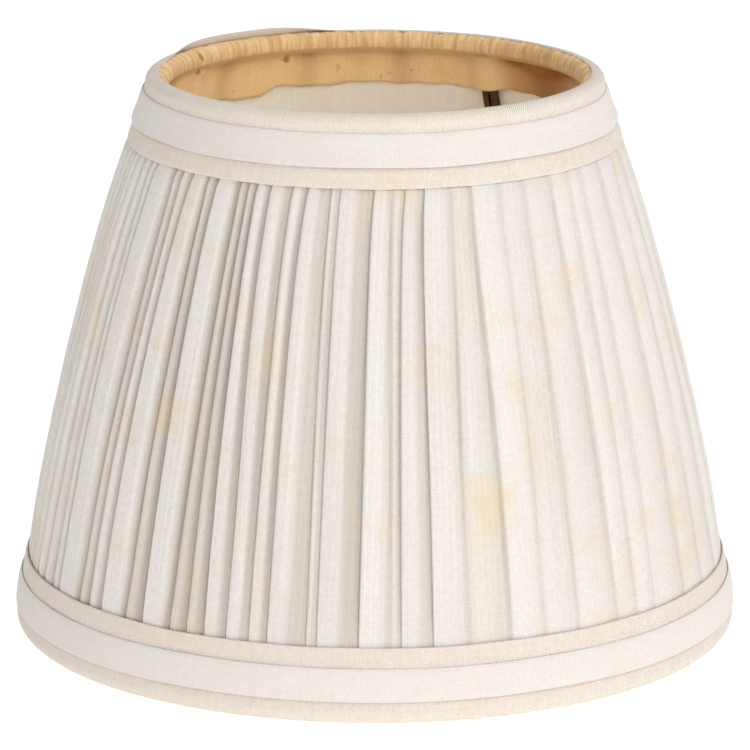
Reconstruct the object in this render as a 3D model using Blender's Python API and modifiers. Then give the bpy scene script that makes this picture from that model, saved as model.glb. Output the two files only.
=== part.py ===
"""Clip-on candle lamp shade: pleated cotton over a wire frame, held by a sprung bulb clip.

Metres, +Z up. The origin is the centre of the shade's bottom edge. The crossbar that the
bulb clip hangs from runs along Y.
"""
import math

import bpy
from mathutils import Matrix, Vector

MM = 0.001

# Overall shape
HEIGHT = 110 * MM                   # bottom edge to top edge
TOP_RING_RADIUS = 42.2 * MM         # to the middle of the wire
BOTTOM_RING_RADIUS = 68.4 * MM      # to the middle of the wire
FRAME_BOW = 1.5 * MM                # how far a strut bows out at half height

# Wires, by radius
RING_WIRE = 1.0 * MM
STRUT_WIRE = 0.8 * MM
CLIP_WIRE = 0.6 * MM

# Cloth, by thickness
LINING = 0.35 * MM
TAPE = 0.4 * MM
TRIM = 0.4 * MM
OVERLAY = 0.4 * MM
GAP = 0.3 * MM                      # left between pieces that touch

# Depth of the pleats, measured outwards from the lining
PLEAT_TOP = 2.2 * MM                # where the pleats come out below the top trim
PLEAT_MIDDLE = 2.9 * MM
PLEAT_BOTTOM = 1.4 * MM             # where they go in behind the bottom trim
PRESSED_TOP_END = 0.8 * MM          # pressed under the top trim, at the cover's upper end
PRESSED_TOP_EDGE = 1.65 * MM        # pressed under the top trim's lower edge
PRESSED_BOTTOM_EDGE = 1.2 * MM      # pressed under the bottom trim's upper edge
PRESSED_BOTTOM_END = 0.6 * MM       # pressed under the bottom trim, at the cover's lower end
PLEATS_FREE_TOP = 1.5 * MM          # below the top trim's edge, where the pleats stand free
PLEATS_FREE_BOTTOM = 1.0 * MM       # above the bottom trim's edge, where they stand free

# Heights, from the nearer edge of the shade
COVER_END_TOP = 5.0 * MM
COVER_END_BOTTOM = 5.2 * MM
TOP_TRIM_WIDTH = 12.8 * MM
BOTTOM_TRIM_WIDTH = 14.3 * MM
TOP_OVERLAY_START = 2.9 * MM
TOP_OVERLAY_WIDTH = 6.3 * MM
BOTTOM_OVERLAY_START = 4.5 * MM
BOTTOM_OVERLAY_WIDTH = 6.4 * MM
TAPE_WIDTH = 12.0 * MM              # how far a binding tape reaches in from the edge
REST_FLAT = 1.2 * MM                # width of the flat that the shade stands on

# Bulb clip
CROSSBAR_DROP = 26 * MM             # top edge to the crossbar's middle
CROSSBAR_BEND = 4 * MM
BULB_RADIUS = 17.5 * MM             # the candle bulb that the open clip takes
LOOP_DROP = 35 * MM                 # crossbar to the middle of the loops, clip open
LOOP_WIDTH = 24 * MM
LOOP_HEIGHT = 28 * MM
NECK = 0.84                         # share of the stem that runs straight before the loop
LOOP_JOIN = 0.5                     # radians round the loop from its top to the stem's bend
LOOP_CUT = 0.2                      # radians of each loop left open beside its stem
OPENING = math.radians(13)          # each jaw's swing from shut to open
COIL_TURNS = 2.75
COIL_START = 1.2 * MM               # middle of the crossbar to the first turn
SADDLE_SHEET = 0.6 * MM
SADDLE_DROP = 6.2 * MM              # crossbar's middle to the strip below it
SADDLE_FOLD = 1.0 * MM
COLLAR_WIDTH = 1.6 * MM
COLLAR_WALL = 0.9 * MM

# Fineness
RING_STEPS = 40
COLLAR_STEPS = 20
WIRE_SIDES = 8
STRUT_POINTS = 7
TURN_POINTS = 12
LOOP_POINTS = 26

# Worked out from the sizes above
ROLL = RING_WIRE + GAP + TAPE + GAP + TRIM      # radius of the whole edge round a ring
TOP_RING_Z = HEIGHT - ROLL
BOTTOM_RING_Z = ROLL
SLOPE = (BOTTOM_RING_RADIUS - TOP_RING_RADIUS) / (TOP_RING_Z - BOTTOM_RING_Z)
SLANT = math.hypot(1, SLOPE)                    # level thickness of a wall 1 thick
STRUT_END = RING_WIRE + GAP + STRUT_WIRE * SLOPE
STRUT_TOP = TOP_RING_Z - STRUT_END
STRUT_BOTTOM = BOTTOM_RING_Z + STRUT_END
TOP_TRIM_EDGE = HEIGHT - TOP_TRIM_WIDTH
COVER_TOP = HEIGHT - COVER_END_TOP
CROSSBAR_Z = HEIGHT - CROSSBAR_DROP
PAIR_OFFSET = 2 * STRUT_WIRE + GAP              # a strut lies beside each crossbar leg
BORE = STRUT_WIRE + GAP                         # running clearance round the crossbar
COIL_RADIUS = BORE + CLIP_WIRE
COIL_PITCH = 2 * CLIP_WIRE + GAP
EAR = COIL_START + COIL_TURNS * COIL_PITCH + CLIP_WIRE + GAP
SHUT = Matrix.Rotation(OPENING, 3, "Y")         # turns the east jaw from open to shut


def mix(start, end, share):
    return start + (end - start) * share


def spread(start, end, count):
    """count values from start to end, both included."""
    return [mix(start, end, index / (count - 1)) for index in range(count)]


# Radii of the layers at a height, from the struts outwards

def wall_radius(z):
    """A strut's middle: an even slope just inside the rings, with a slight bow."""
    share = (STRUT_TOP - z) / (STRUT_TOP - STRUT_BOTTOM)
    slope = mix(TOP_RING_RADIUS, BOTTOM_RING_RADIUS, share) - STRUT_WIRE
    return slope + 4 * FRAME_BOW * share * (1 - share)


def tape_face(z):
    """The face of a binding tape that lies against the struts, on their inner side."""
    return wall_radius(z) - (STRUT_WIRE + GAP) * SLANT


def lining_inner(z):
    return wall_radius(z) + (STRUT_WIRE + GAP) * SLANT


def lining_outer(z):
    return lining_inner(z) + LINING


def cover_inner(z):
    return lining_outer(z) + GAP


def open_cover(z):
    """The cover's outer face between the trims, where the pleats stand free."""
    share = (TOP_TRIM_EDGE - z) / (TOP_TRIM_EDGE - BOTTOM_TRIM_WIDTH)
    depth = PLEAT_TOP * (1 - share) * (1 - 2 * share)
    depth += 4 * PLEAT_MIDDLE * share * (1 - share)
    depth += PLEAT_BOTTOM * share * (2 * share - 1)
    return cover_inner(z) + depth


def pressed_cover(z):
    """The cover's outer face under a trim, where the pleats are pressed flat."""
    if z > HEIGHT / 2:
        share = (z - TOP_TRIM_EDGE) / (COVER_TOP - TOP_TRIM_EDGE)
        return cover_inner(z) + mix(PRESSED_TOP_EDGE, PRESSED_TOP_END, share)
    share = (z - BOTTOM_TRIM_WIDTH) / (COVER_END_BOTTOM - BOTTOM_TRIM_WIDTH)
    return cover_inner(z) + mix(PRESSED_BOTTOM_EDGE, PRESSED_BOTTOM_END, share)


def trim_inner(z):
    """The back of a trim: on the pressed pleats, and past their ends on to the rolled edge."""
    roll = ROLL - TRIM
    if z > COVER_TOP:
        share = (z - COVER_TOP) / (TOP_RING_Z - COVER_TOP)
        return mix(pressed_cover(COVER_TOP) + GAP, TOP_RING_RADIUS + roll, share)
    if z < COVER_END_BOTTOM:
        share = (z - COVER_END_BOTTOM) / (BOTTOM_RING_Z - COVER_END_BOTTOM)
        return mix(pressed_cover(COVER_END_BOTTOM) + GAP, BOTTOM_RING_RADIUS + roll, share)
    return pressed_cover(z) + GAP


def trim_outer(z):
    return trim_inner(z) + TRIM


def overlay_inner(z):
    return trim_outer(z) + GAP


def overlay_outer(z):
    return overlay_inner(z) + OVERLAY


def hoop(radius, ring_radius, ring_z, angles):
    """Points round a ring's wire, at angles in degrees counted from straight out."""
    turns = [math.radians(angle) for angle in angles]
    return [(ring_radius + radius * math.cos(turn), ring_z + radius * math.sin(turn)) for turn in turns]


# Scene, materials and the ways of making a piece

def clear_scene():
    for old in list(bpy.data.objects):
        bpy.data.objects.remove(old, do_unlink=True)


def new_collection(name):
    collection = bpy.data.collections.new(name)
    bpy.context.scene.collection.children.link(collection)
    return collection


def new_material(name, color, roughness, metallic=0.0):
    """color is three sRGB parts of 255."""
    material = bpy.data.materials.new(name)
    material.use_nodes = True
    shader = material.node_tree.nodes["Principled BSDF"]
    linear = [(part / 255) ** 2.2 for part in color]
    shader.inputs["Base Color"].default_value = (*linear, 1)
    shader.inputs["Roughness"].default_value = roughness
    shader.inputs["Metallic"].default_value = metallic
    return material


def add_object(name, data, material, collection):
    piece = bpy.data.objects.new(name, data)
    data.materials.append(material)
    collection.objects.link(piece)
    return piece


def turned(name, outline, material, collection, steps=RING_STEPS):
    """A solid turned about Z from a closed outline, whose outer side runs downwards."""
    mesh = bpy.data.meshes.new(name)
    edges = [(index, (index + 1) % len(outline)) for index in range(len(outline))]
    mesh.from_pydata([(radius, 0, z) for radius, z in outline], edges, [])
    piece = add_object(name, mesh, material, collection)
    screw = piece.modifiers.new("turn", "SCREW")
    screw.steps = steps
    screw.render_steps = steps
    screw.use_merge_vertices = True
    screw.merge_threshold = 0.00001
    screw.use_smooth_shade = True
    return piece


def wire(name, points, radius, material, collection):
    """A round wire through the points, with closed ends."""
    curve = bpy.data.curves.new(name, "CURVE")
    curve.dimensions = "3D"
    curve.bevel_depth = radius
    curve.bevel_resolution = WIRE_SIDES // 2 - 2
    curve.use_fill_caps = True
    spline = curve.splines.new("POLY")
    spline.points.add(len(points) - 1)
    for spot, point in zip(spline.points, points):
        spot.co = (*point, 1)
    return add_object(name, curve, material, collection)


def bent(start, corner, end, count):
    """Points of a smooth bend from start to end that heads for the corner."""
    before = [start.lerp(corner, share) for share in spread(0, 1, count)]
    after = [corner.lerp(end, share) for share in spread(0, 1, count)]
    return [a.lerp(b, share) for a, b, share in zip(before, after, spread(0, 1, count))]


# Frame

def make_ring(name, radius, z, material, collection):
    bpy.ops.mesh.primitive_torus_add(
        major_radius=radius, minor_radius=RING_WIRE, location=(0, 0, z),
        major_segments=RING_STEPS, minor_segments=WIRE_SIDES)
    ring = bpy.context.object
    ring.name = name
    ring.data.name = name
    ring.data.materials.append(material)
    ring.data.shade_smooth()
    for other in list(ring.users_collection):
        other.objects.unlink(ring)
    collection.objects.link(ring)


def make_struts(material, collection):
    places = (("east", 0, 0), ("north", 90, PAIR_OFFSET), ("west", 180, 0), ("south", 270, PAIR_OFFSET))
    heights = spread(STRUT_TOP, STRUT_BOTTOM, STRUT_POINTS)
    for side, angle, sideways in places:
        flat = sideways * math.tan(math.pi / RING_STEPS)    # clears the turned walls' flats
        points = [(wall_radius(z) - flat, sideways, z) for z in heights]
        strut = wire("strut_" + side, points, STRUT_WIRE, material, collection)
        strut.rotation_euler.z = math.radians(angle)


def make_crossbar(material, collection):
    """A wire staple: a leg down each side of the frame and a level bar between them."""
    corner = Vector((0, wall_radius(CROSSBAR_Z), CROSSBAR_Z))
    bend_top = CROSSBAR_Z + CROSSBAR_BEND
    leg = [Vector((0, wall_radius(z), z)) for z in spread(STRUT_TOP, bend_top, 4)]
    bar_end = corner - Vector((0, CROSSBAR_BEND, 0))
    side = leg[:-1] + bent(leg[-1], corner, bar_end, 6)
    other_side = [Vector((0, -point.y, point.z)) for point in reversed(side)]
    wire("crossbar", side + other_side, STRUT_WIRE, material, collection)


def make_collars(material, collection):
    """Two collars crimped on the crossbar, which keep the clip in the middle."""
    outline = [
        (BORE + COLLAR_WALL, COLLAR_WIDTH / 2), (BORE + COLLAR_WALL, -COLLAR_WIDTH / 2),
        (BORE, -COLLAR_WIDTH / 2), (BORE, COLLAR_WIDTH / 2)]
    place = EAR + SADDLE_SHEET + GAP + COLLAR_WIDTH / 2
    for name, side in (("collar_north", 1), ("collar_south", -1)):
        collar = turned(name, outline, material, collection, COLLAR_STEPS)
        collar.location = (0, side * place, CROSSBAR_Z)
        collar.rotation_euler.x = math.radians(90)


# Cloth

def make_lining(material, collection):
    heights = spread(COVER_TOP, COVER_END_BOTTOM, 6)
    outer = [(lining_outer(z), z) for z in heights]
    inner = [(lining_inner(z), z) for z in reversed(heights)]
    turned("lining", outer + inner, material, collection)


def make_cover(material, collection):
    """The pleated cover as one band, from under the top trim to under the bottom trim."""
    under_top = spread(COVER_TOP, TOP_TRIM_EDGE - GAP, 3)
    between = spread(TOP_TRIM_EDGE - PLEATS_FREE_TOP, BOTTOM_TRIM_WIDTH + PLEATS_FREE_BOTTOM, 7)
    under_bottom = [BOTTOM_TRIM_WIDTH + GAP, COVER_END_BOTTOM]
    outer = [(pressed_cover(z), z) for z in under_top]
    outer += [(open_cover(z), z) for z in between]
    outer += [(pressed_cover(z), z) for z in under_bottom]
    inner = [(cover_inner(z), z) for z in spread(COVER_END_BOTTOM, COVER_TOP, 6)]
    turned("outer_cover", outer + inner, material, collection)


def make_top_tape(material, collection):
    """A tape over the top ring, with its long side down the inside of the frame."""
    angles = (-15, 30, 75, 120, 165)
    near = RING_WIRE + GAP
    leg = spread(STRUT_TOP + GAP, HEIGHT - TAPE_WIDTH, 2)
    under = hoop(near, TOP_RING_RADIUS, TOP_RING_Z, angles) + [(tape_face(z), z) for z in leg]
    over = hoop(near + TAPE, TOP_RING_RADIUS, TOP_RING_Z, angles)
    over += [(tape_face(z) - TAPE * SLANT, z) for z in leg]
    turned("top_binding_tape", over[::-1] + under, material, collection)


def make_bottom_tape(material, collection):
    """A tape under the bottom ring, with its long side up the inside of the frame."""
    angles = (15, -30, -75, -120, -165)
    near = RING_WIRE + GAP
    leg = spread(STRUT_BOTTOM - GAP, TAPE_WIDTH, 2)
    over = hoop(near, BOTTOM_RING_RADIUS, BOTTOM_RING_Z, angles) + [(tape_face(z), z) for z in leg]
    under = hoop(near + TAPE, BOTTOM_RING_RADIUS, BOTTOM_RING_Z, angles)
    under += [(tape_face(z) - TAPE * SLANT, z) for z in leg]
    turned("bottom_binding_tape", under + over[::-1], material, collection)


def make_top_trim(material, collection):
    """The braid that starts on top of the rolled edge and covers the pleats' upper ends."""
    angles = (100, 70, 35, 0)
    band = spread(COVER_TOP, TOP_TRIM_EDGE, 3)
    outer = hoop(ROLL, TOP_RING_RADIUS, TOP_RING_Z, angles) + [(trim_outer(z), z) for z in band]
    inner = hoop(ROLL - TRIM, TOP_RING_RADIUS, TOP_RING_Z, angles)
    inner += [(trim_inner(z), z) for z in band]
    turned("top_trim_base", outer + inner[::-1], material, collection)


def make_bottom_trim(material, collection):
    """The braid over the pleats' lower ends, which turns under the bottom ring."""
    angles = (0, -30, -60)
    end_angles = (-120, -150)
    band = spread(BOTTOM_TRIM_WIDTH, COVER_END_BOTTOM, 3)
    ring = (BOTTOM_RING_RADIUS, BOTTOM_RING_Z)
    outer = [(trim_outer(z), z) for z in band] + hoop(ROLL, *ring, angles)
    outer += [(BOTTOM_RING_RADIUS + REST_FLAT / 2, 0), (BOTTOM_RING_RADIUS - REST_FLAT / 2, 0)]
    outer += hoop(ROLL, *ring, end_angles)
    inner = [(trim_inner(z), z) for z in band] + hoop(ROLL - TRIM, *ring, angles + (-90,) + end_angles)
    turned("bottom_trim_base", outer + inner[::-1], material, collection)


def make_overlay(name, top, bottom, material, collection):
    """A narrow flat tape sewn on the middle of a trim."""
    heights = spread(top, bottom, 3)
    outer = [(overlay_outer(z), z) for z in heights]
    inner = [(overlay_inner(z), z) for z in reversed(heights)]
    turned(name, outer + inner, material, collection)


# Bulb clip, modelled about the crossbar's axis

def loop_point(turn):
    """A point of the shut east loop, an oval that hugs the bulb, counted from its top."""
    reach = BULB_RADIUS + CLIP_WIRE
    y = LOOP_WIDTH / 2 * math.sin(turn)
    z = LOOP_HEIGHT / 2 * math.cos(turn) - LOOP_DROP
    return SHUT @ Vector((math.sqrt(reach ** 2 - y ** 2), y, z))


def stem_start():
    """Where the east stem leaves its coil, and its angle off the upright."""
    top = loop_point(0)
    angle = math.atan2(top.x - COIL_RADIUS, -top.z)
    return Vector((COIL_RADIUS * math.cos(angle), COIL_START, COIL_RADIUS * math.sin(angle))), angle


def saddle_width():
    """The strip below the crossbar reaches out to the two shut stems and stops them there."""
    start, angle = stem_start()
    stem_x = start.x + (start.z + SADDLE_DROP) * math.tan(angle)
    return 2 * (stem_x - (CLIP_WIRE + GAP) / math.cos(angle))


def make_saddle(pivot, material, collection, cutters):
    """A strip folded into a loop round the crossbar, bored for it at both ears."""
    top = COIL_RADIUS + CLIP_WIRE + 2 * GAP
    corners = [Vector((x, y, 0)) for x, y in ((EAR, top), (-EAR, top), (-EAR, -SADDLE_DROP), (EAR, -SADDLE_DROP))]
    points = []
    for index, corner in enumerate(corners):
        before = corner + (corners[index - 1] - corner).normalized() * SADDLE_FOLD
        after = corner + (corners[(index + 1) % 4] - corner).normalized() * SADDLE_FOLD
        points += bent(before, corner, after, 4)
    ribbon = bpy.data.curves.new("saddle_strip", "CURVE")
    ribbon.dimensions = "2D"
    ribbon.fill_mode = "NONE"
    ribbon.extrude = saddle_width() / 2
    spline = ribbon.splines.new("POLY")
    spline.points.add(len(points) - 1)
    for spot, point in zip(spline.points, points):
        spot.co = (*point, 1)
    spline.use_cyclic_u = True
    guide = bpy.data.objects.new("saddle_strip", ribbon)
    collection.objects.link(guide)
    mesh = bpy.data.meshes.new_from_object(guide.evaluated_get(bpy.context.evaluated_depsgraph_get()))
    bpy.data.objects.remove(guide, do_unlink=True)

    saddle = add_object("clip_saddle", mesh, material, collection)
    saddle.parent = pivot
    saddle.rotation_euler = Matrix(((0, 0, 1), (1, 0, 0), (0, 1, 0))).to_euler()
    sheet = saddle.modifiers.new("sheet", "SOLIDIFY")
    sheet.thickness = SADDLE_SHEET
    sheet.offset = 1
    bpy.ops.mesh.primitive_cylinder_add(
        radius=BORE, depth=3 * EAR, vertices=COLLAR_STEPS, location=(0, 0, CROSSBAR_Z),
        rotation=(math.radians(90), 0, 0))
    cutter = bpy.context.object
    cutter.name = "saddle_bore"
    cutter.hide_render = True
    cutter.display_type = "WIRE"
    for other in list(cutter.users_collection):
        other.objects.unlink(cutter)
    cutters.objects.link(cutter)
    bore = saddle.modifiers.new("bore", "BOOLEAN")
    bore.operation = "DIFFERENCE"
    bore.object = cutter


def jaw_points():
    """One sprung wire: its coil round the crossbar, its stem, and the loop on the bulb."""
    coil = []
    start, angle = stem_start()
    for share in spread(1, 0, round(COIL_TURNS * TURN_POINTS) + 1):
        turn = angle + 2 * math.pi * COIL_TURNS * share
        along = COIL_PITCH * COIL_TURNS * share
        offset = Vector((COIL_RADIUS * math.cos(turn), along, COIL_RADIUS * math.sin(turn)))
        coil.append(offset + Vector((0, COIL_START, 0)))
    neck = start.lerp(loop_point(0), NECK)
    loop = [loop_point(turn) for turn in spread(LOOP_JOIN, 2 * math.pi - LOOP_CUT, LOOP_POINTS)]
    return coil + bent(neck, loop_point(0), loop[0], 6) + loop[1:]


def make_jaws(pivot, material, collection):
    for name, angle in (("jaw_east", 0), ("jaw_west", 180)):
        jaw = wire(name, jaw_points(), CLIP_WIRE, material, collection)
        jaw.parent = pivot
        jaw.rotation_euler.z = math.radians(angle)


def main():
    clear_scene()
    shade = new_collection("lamp_shade")
    cutters = new_collection("cutters")

    bronze = new_material("bronzed_wire", (92, 78, 62), 0.45, 0.9)
    spring = new_material("spring_wire", (150, 142, 128), 0.35, 1.0)
    brass = new_material("brassed_strip", (158, 132, 84), 0.4, 1.0)
    pleats = new_material("pleated_cotton", (238, 232, 220), 0.9)
    backing = new_material("lining_cotton", (222, 217, 204), 0.9)
    yellowed = new_material("yellowed_tape", (206, 168, 98), 0.9)
    braid = new_material("beige_braid", (214, 204, 186), 0.9)
    white_tape = new_material("white_tape", (246, 243, 236), 0.9)

    make_ring("top_ring", TOP_RING_RADIUS, TOP_RING_Z, bronze, shade)
    make_ring("bottom_ring", BOTTOM_RING_RADIUS, BOTTOM_RING_Z, bronze, shade)
    make_struts(bronze, shade)
    make_crossbar(bronze, shade)
    make_collars(brass, shade)

    make_lining(backing, shade)
    make_cover(pleats, shade)
    make_top_tape(yellowed, shade)
    make_bottom_tape(yellowed, shade)
    make_top_trim(braid, shade)
    make_bottom_trim(braid, shade)
    top_start = HEIGHT - TOP_OVERLAY_START
    bottom_start = BOTTOM_OVERLAY_START + BOTTOM_OVERLAY_WIDTH
    make_overlay("top_trim_overlay", top_start, top_start - TOP_OVERLAY_WIDTH, white_tape, shade)
    make_overlay("bottom_trim_overlay", bottom_start, BOTTOM_OVERLAY_START, white_tape, shade)

    pivot = bpy.data.objects.new("clip_pivot", None)
    pivot.location = (0, 0, CROSSBAR_Z)
    shade.objects.link(pivot)
    make_saddle(pivot, brass, shade, cutters)
    make_jaws(pivot, spring, shade)


main()
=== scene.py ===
"""Looks of a clip-on candle lamp shade: pleated cotton, braid, aged binding tape and wire.

Metres, +Z up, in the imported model's own frame. Angles round the shade are counted from its
front, positive to the right as seen from the front.
"""
import math

import bmesh
import bpy
import numpy as np
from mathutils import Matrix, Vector


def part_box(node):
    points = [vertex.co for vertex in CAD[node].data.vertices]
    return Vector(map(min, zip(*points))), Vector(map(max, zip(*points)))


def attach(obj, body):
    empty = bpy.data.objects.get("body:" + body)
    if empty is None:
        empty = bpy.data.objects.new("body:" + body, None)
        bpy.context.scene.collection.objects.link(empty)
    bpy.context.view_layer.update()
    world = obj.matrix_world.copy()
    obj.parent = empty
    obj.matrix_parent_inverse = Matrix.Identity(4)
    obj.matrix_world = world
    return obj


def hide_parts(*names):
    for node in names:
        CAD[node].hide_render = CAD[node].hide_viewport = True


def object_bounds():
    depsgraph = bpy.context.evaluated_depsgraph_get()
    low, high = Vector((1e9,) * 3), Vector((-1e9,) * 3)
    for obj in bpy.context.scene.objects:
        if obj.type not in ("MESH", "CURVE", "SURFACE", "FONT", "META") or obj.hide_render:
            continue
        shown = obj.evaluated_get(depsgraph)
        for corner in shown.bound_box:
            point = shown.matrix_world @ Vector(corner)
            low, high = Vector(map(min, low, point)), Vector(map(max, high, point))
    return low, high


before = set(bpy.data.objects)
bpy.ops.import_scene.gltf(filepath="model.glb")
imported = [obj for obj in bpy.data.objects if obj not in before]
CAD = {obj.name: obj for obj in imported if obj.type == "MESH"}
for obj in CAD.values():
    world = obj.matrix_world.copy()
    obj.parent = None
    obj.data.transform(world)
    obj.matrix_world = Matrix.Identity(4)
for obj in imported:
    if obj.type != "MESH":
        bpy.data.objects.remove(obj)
cad_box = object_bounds()

MM = 0.001

# View
VIEW_TURN = 33.0                    # degrees round the shade
VIEW_RISE = 14.65                   # degrees above the level
VIEW_DISTANCE = 1.076
VIEW_LENS = 263.2                   # mm, on a 36 mm sensor
VIEW_AIM = 49 * MM                  # height that the camera looks at
FRONT = math.radians(VIEW_TURN - 90)

# Thicknesses
GAP = 0.3 * MM                      # air between the lining and the cover
TAPE = 0.3 * MM
BRAID = 0.22 * MM
LINING = 0.3 * MM
OVERLAY = 0.2 * MM                  # half the thickness of the folded white tape
NEXT_LAYER = 0.5 * MM               # a face this far past another belongs to the next layer

# Pleats at the front, left to right. Each has the angle of its outer fold at the top and at
# the bottom, how far that fold stands out, how far out its face still is where it runs under
# the next fold, and the shares of the face where that fall starts and ends.
FRONT_PLEATS = (
    (-84.0, -86.5, 0.85, 0.35, 0.3, 1.0),
    (-79.5, -82.0, 0.90, 0.35, 0.3, 1.0),
    (-75.5, -78.3, 0.85, 0.30, 0.3, 0.9),
    (-72.6, -76.0, 0.90, 0.30, 0.3, 0.9),
    (-69.5, -73.5, 0.90, 0.32, 0.4, 0.9),
    (-66.0, -69.5, 0.85, 0.28, 0.3, 1.0),
    (-62.5, -65.5, 0.85, 0.28, 0.3, 0.9),
    (-59.0, -63.0, 1.00, 0.22, 0.6, 0.95),
    (-51.5, -56.0, 0.70, 0.25, 0.2, 0.8),
    (-48.8, -53.0, 0.80, 0.28, 0.2, 0.8),
    (-45.5, -50.0, 1.00, 0.22, 0.6, 0.95),
    (-40.7, -44.0, 0.60, 0.25, 0.2, 0.7),
    (-38.0, -40.0, 1.00, 0.26, 0.55, 0.9),
    (-31.8, -34.6, 0.62, 0.28, 0.2, 0.8),
    (-29.6, -31.5, 0.60, 0.28, 0.2, 0.8),
    (-27.6, -28.0, 0.95, 0.46, 0.4, 0.7),
    (-24.0, -24.3, 0.85, 0.46, 0.4, 0.7),
    (-19.6, -20.2, 0.85, 0.46, 0.4, 0.7),
    (-15.8, -17.4, 0.78, 0.50, 0.3, 0.6),
    (-9.8, -11.2, 0.72, 0.60, 0.2, 0.5),
    (-8.2, -9.2, 0.82, 0.52, 0.4, 0.6),
    (-0.6, -2.8, 0.90, 0.64, 0.4, 0.9),
    (3.2, 2.2, 0.76, 0.55, 0.3, 0.9),
    (6.3, 3.8, 0.80, 0.54, 0.4, 0.8),
    (10.3, 9.0, 0.86, 0.70, 0.5, 1.0),
    (16.0, 15.0, 0.80, 0.66, 0.3, 1.0),
    (20.4, 22.0, 0.86, 0.74, 0.5, 1.0),
    (27.5, 27.8, 0.80, 0.72, 0.4, 1.0),
    (34.5, 34.0, 0.82, 0.70, 0.4, 1.0),
    (42.3, 42.0, 0.86, 0.74, 0.4, 1.0),
    (48.0, 46.5, 0.84, 0.74, 0.4, 1.0),
    (53.8, 50.6, 0.89, 0.74, 0.4, 1.0),
    (61.5, 60.0, 0.85, 0.76, 0.4, 1.0),
    (69.8, 67.0, 0.86, 0.74, 0.4, 1.0),
    (77.0, 75.0, 0.84, 0.72, 0.4, 1.0),
    (84.0, 83.0, 0.84, 0.74, 0.4, 1.0),
    (91.0, 90.0, 0.86, 0.72, 0.4, 1.0),
    (98.0, 98.0, 0.84, 0.50, 0.4, 1.0),
)
BACK_PLEAT_WIDTHS = (3.2, 8.0)      # degrees, least and most
BACK_PLEAT_SEED = 11
FOLD_SEED = 5
COVER_ROWS = 64                     # rows of points down the cover
SWAY = 0.35                         # degrees that a fold wanders from a straight line
FOLD_RADIUS = 0.22 * MM             # how round an outer fold is
FACE_STEP = 0.33 * MM               # between the points across a face
FACE_CROWN = 0.04                   # how much a face bulges, as a share of the cover's depth
RIB_WIDTH = 1.3 * MM                # fine lines pressed into a face
SOFT_STEP = 0.21                    # a fold that stands out less than this is only a crease
CREASE_DEPTH = 0.05                 # how far such a crease is pressed in
CREASE_WIDTH = 0.9 * MM
TUCK_TOP = 3.6 * MM                 # how far a pleat runs on under the next one
TUCK_BOTTOM = 2.6 * MM
PINCH = 1.6                         # degrees that a pleat is drawn in by under the top braid
PINCH_FADE = 1.6                    # how far down it is felt, in times the pressed reach
PRESSED_REACH = 5 * MM              # how far from a braid's hem the pleats are still pressed
PRESSED_LEVEL = 0.86                # how far out the pleats lie where a braid presses on them

# Braids and tapes
HERRINGBONE = 5                     # threads before the braid's ribs turn back
HEM = 2.2 * MM                      # how much of a braid is folded under
HEM_FOLD = 0.12 * MM                # radius of that fold
DRAWN_IN = 0.3 * MM                 # how far its stitches draw the hem in
HEM_DARKER = 0.3                      # how much darker a braid is painted round its folded edge and inside its hem
SHADE_BELOW_TAPE = 0.45             # painted shadow on a braid along the white tape's lower edge
LOOSE_EDGE = math.radians(164)      # where the top braid's edge stands up off the roll
LOOSE_WIDTH = math.radians(25)      # how far it does so to each side
UPRIGHT = math.radians(60)          # where on the roll the loose edge leaves it
RIM_LIFT = 0.35 * MM                # the top rim stands up at the front and sinks at the back
OVERLAY_SUNK = 0.45 * MM            # from the overlay's outer face in to the white tape's middle
SEWN_DOWN = 0.14 * MM               # its upper edge is drawn in by this, its lower one stands off
BINDING_ROLL = 2.05 * MM            # from a ring's middle to the middle of its binding
STUCK = 0.45 * MM                   # from the lining's back to the middle of the binding
LUMP = 0.25 * MM                    # how much the binding swells where a strut meets the ring
LUMP_REACH = math.radians(3.2)      # half the width of a swelling over one wire
PAIR_REACH = math.radians(1.3)      # what a second wire beside it adds
PAIR_MIDDLE = math.radians(1.3)     # from a crossbar leg to halfway to the strut beside it
TORN_FROM = math.radians(150)       # where the top binding's torn edge hangs lower
TORN_WIDTH = math.radians(36)
TORN_SLOPE = math.radians(4)        # how soon it reaches its full drop
TORN_DROP = 1.8 * MM
SHADE_PAINTED_AT = math.radians(128)         # where the painted shade on the top binding is deepest, from the front
SHADE_PAINTED_REACH = math.radians(19)

# Marks on the materials, by their size
STAIN_SIZE = 14.3 * MM              # yellow stains in cloth
SPOT_SIZE = 3.03 * MM               # spacing of age spots
SLACK_SIZE = 3.85 * MM              # slack and tight places in cloth
WEAR_SIZE = 2.38 * MM               # worn places on wire
RUST_SIZE = 3.33 * MM               # rust blooms
PIT_SIZE = 0.556 * MM               # pits in a drawn surface, coarser than real ones so they show
TOOTH_SIZE = 1.11 * MM              # the table's fine tooth

# Wire and strip
SWELL_BACK = 0.098                  # share of its radius that an eight-sided wire loses, smoothed
STRIP_EDGE = 0.12 * MM              # rounding of a strip's cut edges

# Steps round the shade, with their start at its back
TURNS = np.linspace(0, 2 * math.pi, 720, endpoint=False) + FRONT + math.pi


# Reading the frame

def mix(start, end, share):
    return start + (end - start) * share


def wall(node, pick, beyond=None):
    """A turned CAD node's radius against height: its outer face for max, its inner for min."""
    corners = {}
    for vertex in CAD[node].data.vertices:
        radius = math.hypot(vertex.co.x, vertex.co.y)
        if beyond is None or radius > beyond(vertex.co.z) + NEXT_LAYER:
            corners.setdefault(round(vertex.co.z, 5), []).append(radius)
    heights = sorted(corners)
    radii = [pick(corners[height]) for height in heights]
    return lambda z: np.interp(z, heights, radii)


def ring_place(node):
    """A ring's radius to the middle of its wire, and that middle's height."""
    low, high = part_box(node)
    wire = (high.z - low.z) / 2
    return high.x - wire, low.z + wire


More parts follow.
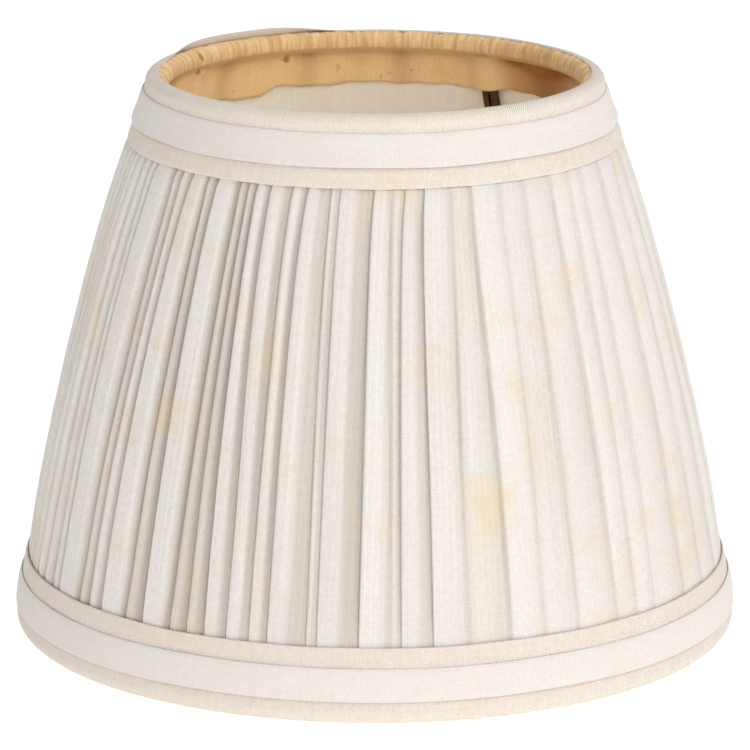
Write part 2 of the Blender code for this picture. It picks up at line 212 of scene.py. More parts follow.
lining_face = wall("lining", max)
lining_back = wall("lining", min)
cover_face = wall("outer_cover", max, beyond=lining_face)
TOP_RADIUS, TOP_Z = ring_place("top_ring")
BOTTOM_RADIUS, BOTTOM_Z = ring_place("bottom_ring")
TOP_ROLL = cad_box[1].z - TOP_Z
BOTTOM_ROLL = BOTTOM_Z - cad_box[0].z
MIDDLE_Z = (TOP_Z + BOTTOM_Z) / 2
ROLLED = TOP_Z - MIDDLE_Z - 2 * MM      # further than this from the middle, a binding is on its ring


def away_from(turn, middle):
    """The angle from a place round the shade, positive or negative, the short way."""
    return (turn - middle + math.pi) % (2 * math.pi) - math.pi


def ripple(turn, size, orders, seed):
    """A smooth uneven wave that closes on itself round the shade."""
    random = np.random.default_rng(seed)
    total = 0.0 * turn
    for order in orders:
        strength = random.uniform(0.4, 1)
        total = total + strength * np.sin(order * turn + random.uniform(0, 2 * math.pi))
    return size * total / math.sqrt(len(orders))


# Meshes

def new_piece(name, mesh, material):
    piece = bpy.data.objects.new(name, mesh)
    bpy.context.scene.collection.objects.link(piece)
    mesh.materials.append(material)
    mesh.shade_smooth()
    return piece


def cloth_piece(name, points, along, across, fold, material, closed_section=False):
    """A woven piece from a grid of points, rows down the cloth and columns round the shade.

    along and across are cloth distances, which the weave follows; fold is 0 on a ridge and 1
    at the bottom of a crease, and darkens the cloth as dust and painted shade.
    """
    rows, columns = points.shape[:2]
    mesh = bpy.data.meshes.new(name)
    quads = []
    corners = []
    last_row = rows if closed_section else rows - 1
    for row in range(last_row):
        below = (row + 1) % rows
        for column in range(columns):
            right = (column + 1) % columns
            quads.append((row * columns + column, below * columns + column,
                          below * columns + right, row * columns + right))
            corners += ((row, column), (row + 1, column), (row + 1, column + 1), (row, column + 1))
    mesh.from_pydata(points.reshape(-1, 3).tolist(), [], quads)
    corners = np.array(corners)
    uv = np.stack((along[corners[:, 1]], across[corners[:, 0]]), axis=1) / MM
    layer = mesh.uv_layers.new(name="cloth")
    layer.data.foreach_set("uv", uv.astype(np.float32).ravel())
    shade = mesh.attributes.new("fold", "FLOAT", "POINT")
    shade.data.foreach_set("value", np.ascontiguousarray(fold, np.float32).ravel())
    return new_piece(name, mesh, material)


def turned_grid(radius, height, turn):
    """Points from radii and heights, each a grid or a column of one."""
    radius, height, turn = np.broadcast_arrays(radius, height, turn)
    return np.stack((radius * np.cos(turn), radius * np.sin(turn), height), axis=-1)


def lengths(points):
    """Distance run along a line of points, from its first to its last."""
    steps = np.linalg.norm(np.diff(points, axis=0), axis=-1)
    return np.concatenate(([0.0], np.cumsum(steps)))


def band(name, section, material, thickness=None, closed_section=False):
    """A cloth band turned round the shade.

    section(turn) gives its radii, its heights and how much darker it is painted, by dust and painted
    shade, each in rows.
    """
    radius, height, dust_and_painted_shade = section(TURNS[None, :])
    points = turned_grid(radius, height, TURNS[None, :])
    middle = points.shape[0] // 2
    along = lengths(np.concatenate((points[middle], points[middle, :1])))
    across = lengths(points[:, 0])
    if closed_section:
        across = np.append(across, across[-1] + np.linalg.norm(points[0, 0] - points[-1, 0]))
    piece = cloth_piece(name, points, along, across, dust_and_painted_shade, material, closed_section)
    if thickness:
        sheet = piece.modifiers.new("thickness", "SOLIDIFY")
        sheet.thickness = thickness
        sheet.offset = 0
    return piece


def place(piece, body, slot, *nodes):
    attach(piece, body)
    if nodes:
        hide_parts(*nodes)
    return piece


# Materials

def linear(hex_color):
    """Linear colour from an sRGB hex value."""
    color = []
    for start in (0, 2, 4):
        part = int(hex_color[start:start + 2], 16) / 255
        color.append(part / 12.92 if part <= 0.04045 else ((part + 0.055) / 1.055) ** 2.4)
    return color + [1.0]


def add(tree, kind, inputs, out=0, **settings):
    """Adds a node and gives one of its outputs. An input is a value, or an output to link."""
    node = tree.nodes.new("ShaderNode" + kind)
    for name, value in settings.items():
        setattr(node, name, value)
    for key, value in inputs.items():
        if isinstance(value, bpy.types.NodeSocket):
            tree.links.new(value, node.inputs[key])
        else:
            node.inputs[key].default_value = value
    return node.outputs[out]


def new_material(name, **sockets):
    """A material with a Principled shader and its constant settings."""
    material = bpy.data.materials.new(name)
    material.use_nodes = True
    shader = material.node_tree.nodes["Principled BSDF"]
    for key, value in sockets.items():
        shader.inputs[key.replace("_", " ")].default_value = value
    return material, material.node_tree, shader


def woven(name, thread, light, dark, crease, stain, herringbone=False, stained=0.5, relief=0.35,
          crumple=0.3, gaps=0.3, sheer=0.2, puckers=0.0, spots=0.0, **sockets):
    """Woven cotton. thread is the spacing of its threads in mm; the colours are sRGB hex.

    sheer is the share of the light that comes through the cloth from its other side, puckers
    is the strength of fine gathers across a tape, and spots that of brown age spots. crease is
    the colour of the gaps between threads and of the painted shade, with some dust, in creases
    and in the hollows of gathers.
    """
    material, tree, shader = new_material(name, **sockets)
    cloth = add(tree, "UVMap", {}, uv_map="cloth")
    place_on = add(tree, "TexCoord", {}, out="Object")
    counted = add(tree, "VectorMath", {0: cloth, 3: 1 / thread}, operation="SCALE")

    # Warp and weft as waves, the one on top changing at each crossing
    along, across = add(tree, "SeparateXYZ", {0: counted}).node.outputs[:2]
    if herringbone:
        across = add(tree, "Math", {0: across, 1: HERRINGBONE}, operation="PINGPONG")
        along = add(tree, "Math", {0: along, 1: across}, operation="ADD")
    waves = []
    for thread_count in (along, across):
        half_turns = add(tree, "Math", {0: thread_count, 1: math.pi}, operation="MULTIPLY")
        waves.append(add(tree, "Math", {0: half_turns}, operation="SINE"))
    warp, weft = [add(tree, "Math", {0: wave}, operation="ABSOLUTE") for wave in waves]
    crossing = add(tree, "Math", {0: waves[0], 1: waves[1]}, operation="MULTIPLY")
    above = add(tree, "MapRange", {0: crossing, 1: -0.6, 2: 0.6})
    threads = warp if herringbone else add(tree, "Mix", {0: above, 2: weft, 3: warp})

    # Thick and thin yarn: long streaks along the warp and the weft, and short slubs
    streaks = []
    for stretch in ((0.9, 0.02, 0.0), (0.03, 0.9, 0.0), (0.7, 0.35, 0.0)):
        drawn_out = add(tree, "VectorMath", {0: counted, 1: stretch}, operation="MULTIPLY")
        streaks.append(add(tree, "TexNoise", {"Vector": drawn_out, "Scale": 1.0, "Detail": 2.0,
                                              "Roughness": 0.5}))
    warp_streak, weft_streak, slub = streaks
    uneven = add(tree, "Mix", {0: 0.35, 2: warp_streak, 3: weft_streak})
    uneven = add(tree, "Mix", {0: 0.5, 2: uneven, 3: slub})

    # Yarns differ in tone, the gaps between them are darker, creases darken with painted shade and some
    # dust, cloth stains
    tone = add(tree, "MapRange", {0: uneven, 1: 0.35, 2: 0.65})
    gap = add(tree, "MapRange", {0: threads, 1: 0.0, 2: 0.75, 3: gaps, 4: 0.0})
    fold = add(tree, "Attribute", {}, out="Fac", attribute_name="fold")
    painted_shade_and_dust = add(tree, "Math", {0: fold, 1: 1.5}, operation="POWER")
    patches = add(tree, "TexNoise", {"Vector": place_on, "Scale": 1 / STAIN_SIZE, "Detail": 4.0,
                                     "Roughness": 0.6})
    blotch = add(tree, "MapRange", {0: patches, 1: 0.54, 2: 0.74, 3: 0.0, 4: stained})
    layers = [(tone, light), (gap, crease), (painted_shade_and_dust, crease), (blotch, stain)]
    if spots:
        dots = add(tree, "TexNoise", {"Vector": place_on, "Scale": 1 / SPOT_SIZE, "Detail": 1.0,
                                      "Roughness": 0.3})
        spotted = add(tree, "MapRange", {0: dots, 1: 0.74, 2: 0.80, 3: 0.0, 4: spots})
        layers.append((spotted, AGE_SPOT))
    if puckers:
        # Gathers a millimetre apart, only where the tape rolls over its ring
        level = add(tree, "SeparateXYZ", {0: place_on}, out=2)
        from_middle = add(tree, "Math", {0: level, 1: MIDDLE_Z}, operation="SUBTRACT")
        away = add(tree, "Math", {0: from_middle}, operation="ABSOLUTE")
        on_ring = add(tree, "MapRange", {0: away, 1: ROLLED, 2: ROLLED + 1 * MM})
        drawn_out = add(tree, "VectorMath", {0: cloth, 1: (1.0, 0.12, 0.0)}, operation="MULTIPLY")
        gathers = add(tree, "TexNoise", {"Vector": drawn_out, "Scale": 1.0, "Detail": 3.0,
                                         "Roughness": 0.6})
        gathers = add(tree, "Math", {0: gathers, 1: on_ring}, operation="MULTIPLY")
        # the hollows between the gathers are darkened as painted shade
        hollows = add(tree, "MapRange", {0: gathers, 1: 0.40, 2: 0.60, 3: 0.35, 4: 0.0})
        shade = add(tree, "Math", {0: hollows, 1: on_ring}, operation="MULTIPLY")
        layers.append((shade, crease))
    color = linear(dark)
    for share, tint in layers:
        color = add(tree, "Mix", {0: share, 6: color, 7: linear(tint)}, out=2, data_type="RGBA")
    tree.links.new(color, shader.inputs["Base Color"])
    rough = add(tree, "MapRange", {0: uneven, 1: 0.3, 2: 0.7, 3: 0.95, 4: 0.8})
    tree.links.new(rough, shader.inputs["Roughness"])

    # Relief: slack cloth, then gathers, then the threads
    slack = add(tree, "TexNoise", {"Vector": place_on, "Scale": 1 / SLACK_SIZE, "Detail": 3.0,
                                   "Roughness": 0.55})
    normal = add(tree, "Bump", {"Strength": crumple, "Distance": 0.6 * MM, "Height": slack})
    if puckers:
        normal = add(tree, "Bump", {"Strength": puckers, "Distance": 0.5 * MM, "Height": gathers,
                                    "Normal": normal})
    height = add(tree, "Math", {0: threads, 1: uneven}, operation="ADD")
    fine = add(tree, "Bump", {"Strength": relief, "Distance": 0.12 * MM, "Height": height,
                              "Normal": normal})
    tree.links.new(fine, shader.inputs["Normal"])
    through = add(tree, "BsdfTranslucent", {"Color": color, "Normal": fine})
    both = add(tree, "MixShader", {0: sheer, 1: shader.outputs[0], 2: through})
    tree.links.new(both, tree.nodes["Material Output"].inputs["Surface"])
    return material


def drawn_wire(name, bare, dull, rust, rusted, rough, metallic):
    """Drawn steel wire or strip: dulled in places, rusty or worn where damp has reached it."""
    material, tree, shader = new_material(name, Metallic=metallic)
    place_on = add(tree, "TexCoord", {}, out="Object")
    mottle = add(tree, "TexNoise", {"Vector": place_on, "Scale": 1 / WEAR_SIZE, "Detail": 4.0,
                                    "Roughness": 0.6})
    worn = add(tree, "MapRange", {0: mottle, 1: 0.35, 2: 0.65})
    blooms = add(tree, "TexNoise", {"Vector": place_on, "Scale": 1 / RUST_SIZE, "Detail": 6.0,
                                    "Roughness": 0.7})
    rusty = add(tree, "MapRange", {0: blooms, 1: 0.50, 2: 0.62, 3: 0.0, 4: rusted})
    color = linear(dull)
    for share, tint in ((worn, bare), (rusty, rust)):
        color = add(tree, "Mix", {0: share, 6: color, 7: linear(tint)}, out=2, data_type="RGBA")
    tree.links.new(color, shader.inputs["Base Color"])
    rougher = add(tree, "MapRange", {0: rusty, 1: 0.0, 2: 1.0, 3: rough, 4: 0.85})
    tree.links.new(rougher, shader.inputs["Roughness"])
    grain = add(tree, "TexNoise", {"Vector": place_on, "Scale": 1 / PIT_SIZE, "Detail": 4.0,
                                   "Roughness": 0.6})
    pits = add(tree, "Bump", {"Strength": 0.4, "Distance": 0.1 * MM, "Height": grain})
    tree.links.new(pits, shader.inputs["Normal"])
    return material


AGE_SPOT = "9A5E30"                # brown of old damp marks

# Plain-weave cotton, gone off-white: matt, its threads showing as a fine dotted grain
PLEATED_COTTON = woven("pleated_cotton", 0.44, "F5F1ED", "EAE5DF", "A9967D", "EACF94",
                       stained=0.4, relief=0.6, gaps=0.3, sheer=0.12, Sheen_Weight=0.1,
                       Sheen_Roughness=0.5)
# Plain-weave lining cotton, yellowed on its inner side: flat and a little warmer than the cover
LINING_COTTON = woven("lining_cotton", 0.5, "FFF9EE", "FAEFDD", "E2D0B2", "EFD8A8",
                      stained=0.5, relief=0.3, crumple=0.5, gaps=0.15, sheer=0.08,
                      Sheen_Weight=0.08, Sheen_Roughness=0.5)
# Thin cotton binding tape, stuck down and yellowed: golden, gathered, with brown age spots
YELLOWED_TAPE = woven("yellowed_tape", 0.36, "FFDDA6", "F9CE91", "9C5F20", "DDA25A",
                      stained=0.5, relief=0.15, crumple=0.8, gaps=0.05, sheer=0.06, puckers=1.0,
                      spots=0.7, Sheen_Weight=0.1, Sheen_Roughness=0.4)
# Beige cotton braid in a herringbone twill: slanting ribs that catch the light in short dashes
BEIGE_BRAID = woven("beige_braid", 0.52, "F5EDE3", "ECE1D5", "B0957B", "EBD5AA", herringbone=True,
                    stained=0.3, relief=0.8, gaps=0.55, sheer=0.06, Sheen_Weight=0.1,
                    Sheen_Roughness=0.5)
# White cotton tape in a close plain weave: the smoothest and palest cloth here
WHITE_TAPE = woven("white_tape", 0.38, "F0EAE5", "E8E1DA", "C6B9AB", "EFE1C6",
                   stained=0.3, relief=0.5, gaps=0.3, sheer=0.1, Sheen_Weight=0.1,
                   Sheen_Roughness=0.5)
# Bronzed steel wire: dark brown lacquer over steel, with rust coming through
BRONZED_WIRE = drawn_wire("bronzed_wire", "5E4A36", "3C2D20", "7A4424", 0.8, 0.42, 0.8)
# Drawn spring steel: bright grey wire with a thin dull film
SPRING_WIRE = drawn_wire("spring_wire", "A9A294", "877F70", "8A6A48", 0.3, 0.3, 1.0)
# Brassed steel strip: a thin warm plating, dulled and worn to grey
BRASSED_STRIP = drawn_wire("brassed_strip", "B79A5E", "8F7A50", "6E5434", 0.4, 0.35, 1.0)


# Pleated cover

def pleat_list():
    """Every pleat round the shade, the front ones as listed and the rest in uneven widths."""
    random = np.random.default_rng(BACK_PLEAT_SEED)
    pleats = [list(pleat) for pleat in FRONT_PLEATS]
    end = 360 + FRONT_PLEATS[0][0]
    place_now = FRONT_PLEATS[-1][0] + 7
    while place_now < end - BACK_PLEAT_WIDTHS[0]:
        lean = random.uniform(-2, 1)
        deep = random.uniform() < 0.6
        fall = random.uniform(0.3, 0.45) if deep else random.uniform(0.55, 0.7)
        start = random.uniform(0.2, 0.6)
        pleats.append([place_now, place_now + lean, random.uniform(0.7, 1.0), fall, start, 1.0])
        place_now += random.uniform(*BACK_PLEAT_WIDTHS)
    return np.array(pleats)


def folded_cover():
    """One sheet that runs across each face, on under the next fold, and back out to it."""
    random = np.random.default_rng(FOLD_SEED)
    pleats = pleat_list()
    low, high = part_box("outer_cover")
    share = np.linspace(0, 1, COVER_ROWS)
    height = mix(high.z, low.z, share)
    base = lining_face(height) + GAP
    depth = cover_face(height) - base
    below_top = np.maximum(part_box("top_trim_base")[0].z - height, 0) / PRESSED_REACH
    above_bottom = np.maximum(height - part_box("bottom_trim_base")[1].z, 0) / PRESSED_REACH
    count = len(pleats)
    widths = np.diff(np.append(pleats[:, 0], pleats[0, 0] + 360))
    folds = []
    for pleat, width in zip(pleats, widths):
        sway = random.uniform(-SWAY, SWAY) * np.sin(math.pi * share * random.uniform(0.8, 2.2))
        pinch = min(PINCH, 0.3 * width) * random.uniform(0.3, 1)
        pinch = pinch * np.exp(-below_top / PINCH_FADE)
        folds.append(FRONT + np.radians(mix(pleat[0], pleat[1], share ** 0.7) + sway + pinch))
    folds.append(folds[0] + 2 * math.pi)

    crests = pleats[:, 2]
    falls = pleats[:, 3]
    soft = crests - np.roll(falls, 1) < SOFT_STEP
    columns = []
    for index in range(count):
        following = (index + 1) % count
        start, stop = folds[index], folds[index + 1]
        after = folds[(index + 2) % count] + (2 * math.pi if index + 2 >= count else 0)
        crest, fall, ease_from, ease_to = pleats[index, 2:]
        tuck = np.minimum(mix(TUCK_TOP, TUCK_BOTTOM, share) / base, 0.8 * (after - stop))
        width = stop - start
        bend = FOLD_RADIUS / base
        swell = random.uniform(0.92, 1.06) + 0.05 * np.sin(math.pi * share * random.uniform(1, 4))
        phase = random.uniform(0, 2 * math.pi)
        rib = random.uniform(0.015, 0.04)
        if not soft[index]:
            columns.append((start - 0.2 * bend, crest - 0.08 + 0 * share, 0 * share))
        steps = max(7, round(float(np.mean(width * base)) / FACE_STEP))
        for step in np.linspace(0, 1, steps):
            # the face runs level, then falls smoothly to where the next fold covers it
            ease = np.clip((step - ease_from) / (ease_to - ease_from), 0, 1)
            ease = ease * ease * (3 - 2 * ease)
            out = mix(crest, fall, ease) + FACE_CROWN * math.sin(math.pi * min(2 * step, 1))
            run = step * width * base
            left = (1 - step) * width * base
            out = out + rib * np.sin(2 * math.pi * run / RIB_WIDTH + phase) * min(1, 4 * step)
            # painted shadow where the face runs in under the next fold
            dust_and_painted_shade = 0.1 * np.exp(-(left / (0.6 * MM)) ** 2)
            if soft[index]:
                out = out - CREASE_DEPTH * np.exp(-(run / CREASE_WIDTH) ** 2)
                # a soft crease painted darker, as painted shade with some dust
                dust_and_painted_shade = dust_and_painted_shade + 0.2 * np.exp(-(run / (0.4 * MM)) ** 2)
            if soft[following]:
                out = out - CREASE_DEPTH * np.exp(-(left / CREASE_WIDTH) ** 2)
            out = np.clip(out * swell, 0.2, 1.0)
            columns.append((start + bend + step * (width - bend), out, dust_and_painted_shade))
        if soft[following]:
            continue
        # the cloth runs in under the next fold, turns, and comes back out to that fold
        under = max(0.06, min(fall, falls[following]) - 0.2)
        hidden = ((0.4, mix(under, fall, 0.45)), (0.85, under), (1.0, under + 0.03),
                  (0.85, under + 0.06), (0.45, under + 0.15))
        for reach, out in hidden:
            columns.append((stop + reach * tuck, out + 0 * share, 0 * share))
        columns.append((stop + 1.4 * bend, crests[following] - 0.15 + 0 * share, 0 * share))
    angles, outs, dust_and_painted_shade = np.array(columns).transpose(1, 2, 0)
    pressed = 0.5 * np.exp(-below_top ** 2) + 0.7 * np.exp(-above_bottom ** 2)
    radius = base[:, None] + mix(outs, PRESSED_LEVEL, pressed[:, None]) * depth[:, None]
    points = turned_grid(radius, height[:, None], angles)
    closed_rows = np.concatenate((points, points[:, :1]), axis=1)
    along = np.mean([lengths(row) for row in closed_rows], axis=0)
    across = lengths(points[:, 0])
    # the deeper the cloth lies in the pleats, the darker it is painted, as painted shade
    cover = cloth_piece("pleated_cover", points, along, across, np.clip(1 - outs + dust_and_painted_shade, 0, 1),
                        PLEATED_COTTON)
    place(cover, "shade", "pleated_cotton", "outer_cover")


# Lining, tapes and braids

def make_lining():
    low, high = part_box("lining")
    heights = np.linspace(high.z, low.z, 40)[:, None]

    def section(turn):
        share = (heights - low.z) / (high.z - low.z)
        slack = 4 * share * (1 - share)
        wave = ripple(turn + 0.4 * share, 0.12 * MM, (5, 9, 14, 23), 3) * slack
        middle = (lining_face(heights) + lining_back(heights)) / 2
        return middle + wave, heights + 0 * turn, 0 * wave

    lining = band("lining_cloth", section, LINING_COTTON, LINING)
    place(lining, "shade", "lining_cotton", "lining")


def rim_lift(turn, angle):
    """How far the top rim stands off its level, where it rolls over the ring."""
    return RIM_LIFT * np.cos(turn - FRONT) * max(0, math.sin(angle)) ** 2


def section_rows(rows, turn):
    """The radii, heights and dust and painted shade of a section, each filled out all round the shade.
    """
    return [np.concatenate([value + 0 * turn for value in values]) for values in zip(*rows)]


def make_braid(name, node, overlay, ring_radius, ring_z, roll, top):
    """A braid that rolls over a ring's edge and ends in a folded hem on the pleats."""
    low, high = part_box(node)
    face = wall(node, max)
    way = 1 if top else -1
    edge = low.z if top else high.z
    # rolled just over a quarter turn round the top ring, and further under the bottom one
    angles = np.radians(np.linspace(100, 0, 10) if top else np.linspace(155, 0, 14))
    tape_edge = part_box(overlay)[0].z
    seed = 21 if top else 22

    def section(turn):
        uneven = ripple(turn, 0.09 * MM, (2, 5, 9, 16, 31), seed)
        loft = ripple(turn, 0.06 * MM, (3, 7, 13, 24), seed + 10)
        rows = []
        loose = np.exp(-((turn - LOOSE_EDGE) / LOOSE_WIDTH) ** 4) if top else 0
        for angle in angles:
            shoulder = 0.2 * MM * math.sin(2 * angle) ** 2 if top else 0
            puff = roll - BRAID / 2 + 0.5 * loft + shoulder
            held = min(angle, UPRIGHT)
            stands = puff * (math.sin(held) + angle - held)
            z = ring_z + way * mix(puff * math.sin(angle), stands, loose)
            if top:
                z = z + rim_lift(turn, angle)
            dust_and_painted_shade = 0.12 * max(0, math.sin(angle)) ** 8
            radius = ring_radius + puff * mix(math.cos(angle), math.cos(held), loose)
            rows.append((radius, z, dust_and_painted_shade))
        for share in np.linspace(0, 1, 30)[1:]:
            z = mix(ring_z, edge, share) + uneven * share
            radius = face(z) - BRAID / 2 + loft * math.sin(math.pi * share) - DRAWN_IN * share ** 4
            # painted shadow on the braid just below the white tape
            shaded = np.exp(-((z - tape_edge) / (0.5 * MM)) ** 2)
            rows.append((radius, z, SHADE_BELOW_TAPE * shaded))
        # the folded edge and the hem under it painted darker
        for angle in np.radians((45, 90, 135, 180)):
            radius = face(edge) - DRAWN_IN - BRAID / 2 - HEM_FOLD * (1 - math.cos(angle))
            rows.append((radius, edge + uneven - way * HEM_FOLD * math.sin(angle), HEM_DARKER))
        for share in (0.5, 1.0):
            z = edge + uneven + way * HEM * share
            rows.append((face(z) - DRAWN_IN - BRAID / 2 - 2 * HEM_FOLD, z, HEM_DARKER))
        return section_rows(rows if top else rows[::-1], turn)

    braid = band(name, section, BEIGE_BRAID, BRAID)
    place(braid, "shade", "beige_braid", node)
    tape = make_overlay(overlay, seed + 5)


def make_overlay(node, seed):
    """A narrow tape with both long edges folded under, sewn on the middle of a braid."""
    low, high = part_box(node)
    face = wall(node, max)
    middle = (low.z + high.z) / 2
    half = (high.z - low.z) / 2 - 0.1 * MM

    def section(turn):
        wander = ripple(turn, 0.12 * MM, (2, 4, 7, 12), seed)
        loft = ripple(turn, 0.05 * MM, (3, 8, 15, 27), seed + 1)
        rows = []
        for angle in np.linspace(0, 2 * math.pi, 28, endpoint=False):
            # a rounded flat section: narrow ends, nearly level faces
            up = math.copysign(abs(math.cos(angle)) ** 0.35, math.cos(angle))
            out = math.copysign(abs(math.sin(angle)) ** 0.7, math.sin(angle))
            z = middle + half * up + wander
            crown = 0.12 * MM * (1 - up * up)
            radius = face(z) - OVERLAY_SUNK - SEWN_DOWN * up ** 3 + OVERLAY * out
            radius = radius + (crown + loft) * (out > 0)
            # the tape's lower edge painted darker, a painted shadow line
            rows.append((radius, z, 0.3 * max(0, -up) ** 12))
        return section_rows(rows, turn)

    name = node.replace("_trim_overlay", "_white_tape")
    tape = band(name, section, WHITE_TAPE, closed_section=True)
    return place(tape, "shade", "white_tape", node)


def make_binding(name, node, ring_radius, ring_z, top):
    """A tape folded over a ring, puckered on the roll, its raw edge ragged inside the frame."""
    low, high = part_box(node)
    inner = wall(node, min)
    way = 1 if top else -1
    end = low.z if top else high.z
    angles = np.radians(np.linspace(20, 235, 22))
    seed = 41 if top else 42

    def section(turn):
        pucker = ripple(turn, 0.13 * MM, (31, 47, 73, 97, 131), seed)
        sag = ripple(turn, 0.12 * MM, (3, 7, 12, 19), seed + 1)
        ragged = ripple(turn, 0.45 * MM, (2, 5, 9, 17, 41), seed + 2)
        into_tear = (turn - TORN_FROM) % (2 * math.pi)
        torn = np.clip(np.minimum(into_tear, TORN_WIDTH - into_tear) / TORN_SLOPE, 0, 1)
        lump = 0
        for side in range(4):
            paired = side % 2        # north and south, a strut has a crossbar leg beside it
            away = away_from(turn, side * math.pi / 2 + paired * PAIR_MIDDLE)
            lump = lump + np.exp(-np.abs(away / (LUMP_REACH + PAIR_REACH * paired)) ** 2.8)
        painted_shade_and_patches = 0.0
        # painted shade inside the top binding, deepest at one place and kept off the swellings over the
        # struts, with small browned patches all round
        if top:
            painted_shade_and_patches = 0.8 * np.exp(-(away_from(turn, FRONT + SHADE_PAINTED_AT) / SHADE_PAINTED_REACH) ** 2)
            small_patches = 0.3 * np.abs(np.sin(7 * turn)) ** 9
            painted_shade_and_patches = np.maximum(painted_shade_and_patches, small_patches)
        rows = []
        for angle in angles:
            puff = BINDING_ROLL + pucker * math.sin(angle) ** 2
            puff = puff + LUMP * lump * max(0, -math.cos(angle))
            z = ring_z + way * puff * math.sin(angle)
            if top:
                z = z + rim_lift(turn, angle)
            # painted shadow in the crease where the roll turns into the leg
            under = math.exp(-((angle - angles[-1]) / 0.35) ** 2)
            rows.append((ring_radius + puff * math.cos(angle), z, 0.45 * under + 0.3 * painted_shade_and_patches))
        start = ring_z + way * BINDING_ROLL * math.sin(angles[-1])
        for share in np.linspace(0, 1, 12)[1:]:
            z = mix(start, end + way * (0.6 * MM + ragged - TORN_DROP * torn), share)
            flat = lining_back(z) - STUCK
            over_strut = inner(z) + 0.2 * MM
            loose = (pucker * 0.5 + sag) * min(1, 4 * (1 - share))
            radius = mix(flat + np.minimum(loose, 0.1 * MM), over_strut, lump)
            # painted shadow just below the roll; the leg is also a little darker all down
            under = math.exp(-(share / 0.3) ** 2)
            rows.append((radius, z, np.clip(0.4 * under + 0.12 + painted_shade_and_patches * (1 - lump), 0, 1)))
        return section_rows(rows if top else rows[::-1], turn)

    tape = band(name, section, YELLOWED_TAPE, TAPE)
    place(tape, "shade", "yellowed_tape", node)


# Metal

def smooth_wire(node, radius, material, slot, body):
    """A CAD wire made round and swelled back to its radius; with no radius, a strip with soft edges."""
    work = bmesh.new()
    work.from_mesh(CAD[node].data)
    bmesh.ops.remove_doubles(work, verts=work.verts, dist=0.001 * MM)
    bmesh.ops.join_triangles(work, faces=work.faces, angle_face_threshold=0.6,
                             angle_shape_threshold=1.0)
    work.verts.index_update()
    mesh = bpy.data.meshes.new(node + "_metal")
    mesh.from_pydata([vertex.co for vertex in work.verts], [],
                     [[vertex.index for vertex in face.verts] for face in work.faces])
    work.free()
    piece = new_piece(node + "_metal", mesh, material)
    if radius:
        finer = piece.modifiers.new("finer", "SUBSURF")
        finer.levels = 2
        finer.render_levels = 2
        swell = piece.modifiers.new("swell", "DISPLACE")
        swell.strength = SWELL_BACK * radius
        swell.mid_level = 0
    else:
        edges = piece.modifiers.new("edges", "BEVEL")
        edges.width = STRIP_EDGE
        edges.segments = 2
        edges.limit_method = "ANGLE"
        mesh.set_sharp_from_angle(angle=math.radians(40))
    return place(piece, body, slot, node)


def make_metal():
    for node in ("top_ring", "bottom_ring"):
        smooth_wire(node, 1.0 * MM, BRONZED_WIRE, "bronzed_wire", "shade")
    for node in ("strut_east", "strut_north", "strut_west", "strut_south", "crossbar"):
        smooth_wire(node, 0.8 * MM, BRONZED_WIRE, "bronzed_wire", "shade")
    for node in ("collar_north", "collar_south"):
        smooth_wire(node, 0, BRASSED_STRIP, "brassed_strip", "shade")
    smooth_wire("clip_saddle", 0, BRASSED_STRIP, "brassed_strip", "clip")
    for side in ("east", "west"):
        smooth_wire("jaw_" + side, 0.6 * MM, SPRING_WIRE, "spring_wire", side + "_jaw")


# Studio

def make_camera():
    turn, rise = math.radians(VIEW_TURN), math.radians(VIEW_RISE)
    back = Vector((math.sin(turn) * math.cos(rise), -math.cos(turn) * math.cos(rise), math.sin(rise)))
    camera = bpy.data.objects.new("camera", bpy.data.cameras.new("camera"))
    camera.data.lens = VIEW_LENS
    camera.location = Vector((0, 0, VIEW_AIM)) + back * VIEW_DISTANCE
    camera.rotation_mode = "QUATERNION"
    camera.rotation_quaternion = (-back).to_track_quat("-Z", "Y")
    camera.data.clip_start = 10 * MM
    bpy.context.scene.collection.objects.link(camera)
    bpy.context.scene.camera = camera


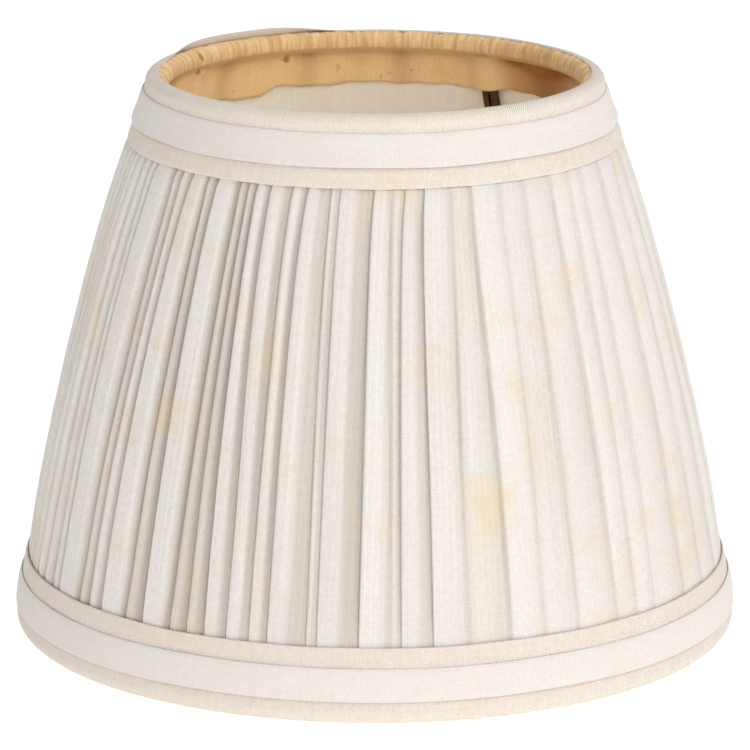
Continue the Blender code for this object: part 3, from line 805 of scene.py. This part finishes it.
def make_light(name, turn, rise, distance, size, power):
    """A soft square light, placed by its angle from the front and aimed at the shade."""
    light = bpy.data.lights.new(name, "AREA")
    light.size = size
    light.energy = power
    lamp = bpy.data.objects.new(name, light)
    around, up = FRONT + math.radians(turn), math.radians(rise)
    away = Vector((math.cos(around) * math.cos(up), math.sin(around) * math.cos(up), math.sin(up)))
    lamp.location = away * distance
    lamp.rotation_mode = "QUATERNION"
    lamp.rotation_quaternion = away.to_track_quat("Z", "Y")
    bpy.context.scene.collection.objects.link(lamp)


def make_studio():
    world = bpy.data.worlds.new("studio")
    world.use_nodes = True
    sky = world.node_tree.nodes["Background"]
    sky.inputs["Color"].default_value = (1, 1, 1, 1)
    sky.inputs["Strength"].default_value = 0.5
    bpy.context.scene.world = world
    bpy.context.scene.view_settings.view_transform = "Standard"
    make_light("key", turn=60, rise=42, distance=1.8, size=1.0, power=8)
    make_light("front", turn=4, rise=20, distance=2.0, size=1.5, power=14.5)
    make_light("back", turn=165, rise=50, distance=2.0, size=1.2, power=8)

    # Opal acrylic table, lit from below: a plain pale ground with a faint tooth
    material, tree, shader = new_material(
        "opal_table", Roughness=0.9, Emission_Color=(1, 1, 1, 1), Emission_Strength=0.48)
    place_on = add(tree, "TexCoord", {}, out="Object")
    tooth = add(tree, "TexNoise", {"Vector": place_on, "Scale": 1 / TOOTH_SIZE, "Detail": 3.0,
                                   "Roughness": 0.5})
    color = add(tree, "Mix", {0: tooth, 6: linear("F7F6F4"), 7: linear("FBFAF8")}, out=2,
                data_type="RGBA")
    tree.links.new(color, shader.inputs["Base Color"])
    mesh = bpy.data.meshes.new("ground")
    work = bmesh.new()
    bmesh.ops.create_circle(work, cap_ends=True, segments=96, radius=6)
    work.to_mesh(mesh)
    work.free()
    ground = new_piece("ground", mesh, material)
    ground.location.z = cad_box[0].z - 0.2 * MM


make_camera()
folded_cover()
make_lining()
make_braid("top_braid", "top_trim_base", "top_trim_overlay", TOP_RADIUS, TOP_Z, TOP_ROLL, True)
make_braid("bottom_braid", "bottom_trim_base", "bottom_trim_overlay",
           BOTTOM_RADIUS, BOTTOM_Z, BOTTOM_ROLL, False)
make_binding("top_binding", "top_binding_tape", TOP_RADIUS, TOP_Z, True)
make_binding("bottom_binding", "bottom_binding_tape", BOTTOM_RADIUS, BOTTOM_Z, False)
make_metal()
make_studio()
